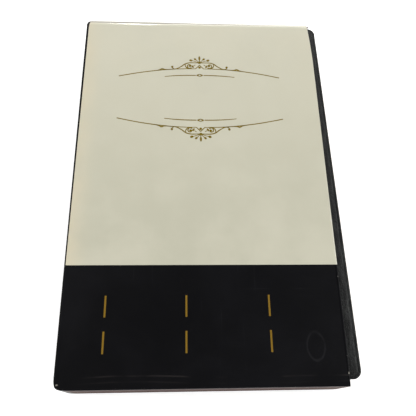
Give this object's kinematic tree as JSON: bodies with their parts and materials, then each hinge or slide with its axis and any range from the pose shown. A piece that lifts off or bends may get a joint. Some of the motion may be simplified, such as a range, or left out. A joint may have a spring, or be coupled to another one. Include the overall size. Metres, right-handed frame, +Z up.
{
  "type": "boxed bible",
  "caption": "Vinyl-bound bible with rounded corners, gilt thumb-indexed pages and a ribbon, sliding in a rigid printed slipcase.",
  "frame": {"origin": "centre of the slipcase's back face, which is the face it lies on", "axes": "+X out of the slipcase's mouth, +Y from the tail to the head of the book, +Z up through the printed front"},
  "size_m": [0.1512, 0.226, 0.0305],
  "materials": {
    "printed_wrap": "gloss laminated print, cream with a black band",
    "black_wrap": "gloss laminated black print",
    "end_paper": "matt grey-brown paper",
    "grey_board": "raw grey board",
    "case_lining": "matt white lining paper",
    "cover_vinyl": "leather-grained vinyl, satin",
    "inner_vinyl": "smooth matt vinyl with a welded rim",
    "cover_card": "raw card",
    "spine_paper": "kraft liner paper",
    "mull_gauze": "open gauze",
    "binding_glue": "dried glue film",
    "sewing_thread": "waxed thread",
    "band_fabric": "woven band in gold and black",
    "endpaper": "smooth endpaper",
    "ribbon": "satin ribbon",
    "label_paper": "blank black labels",
    "gilt_pages": "thin white paper with gilt edges"
  },
  "bodies": {
    "slipcase": {"wrap_front": "printed_wrap", "wrap_side": "black_wrap", "wrap_back": "black_wrap", "wrap_head_turns": "black_wrap", "wrap_tail_turns": "black_wrap", "wrap_mouth_turn": "black_wrap", "end_paper_head": "end_paper", "end_paper_tail": "end_paper", "board_front": "grey_board", "board_side": "grey_board", "board_back": "grey_board", "board_head": "grey_board", "board_tail": "grey_board", "lining_front": "case_lining", "lining_side": "case_lining", "lining_back": "case_lining", "lining_head": "case_lining", "lining_tail": "case_lining"},
    "bible": {"cover_front_vinyl": "cover_vinyl", "cover_front_card": "cover_card", "cover_front_liner": "inner_vinyl", "cover_back_vinyl": "cover_vinyl", "cover_back_card": "cover_card", "cover_back_liner": "inner_vinyl", "spine_vinyl": "cover_vinyl", "spine_strip": "cover_card", "spine_liner": "spine_paper", "spine_mull": "mull_gauze", "spine_glue": "binding_glue", "sewing_threads": "sewing_thread", "head_band": "band_fabric", "tail_band": "band_fabric", "endpaper_front": "endpaper", "endpaper_back": "endpaper", "ribbon_marker": "ribbon", "thumb_labels": "label_paper", "pages_01": "gilt_pages", "pages_02": "gilt_pages", "pages_03": "gilt_pages", "pages_04": "gilt_pages", "pages_05": "gilt_pages", "pages_06": "gilt_pages", "pages_07": "gilt_pages", "pages_08": "gilt_pages", "pages_09": "gilt_pages", "pages_10": "gilt_pages", "pages_11": "gilt_pages", "pages_12": "gilt_pages"}
  },
  "joints": [
    {"name": "bible_slide", "type": "slide", "parent": "slipcase", "child": "bible", "axis": [1, 0, 0], "range_m": [0, 0.16]}
  ]
}
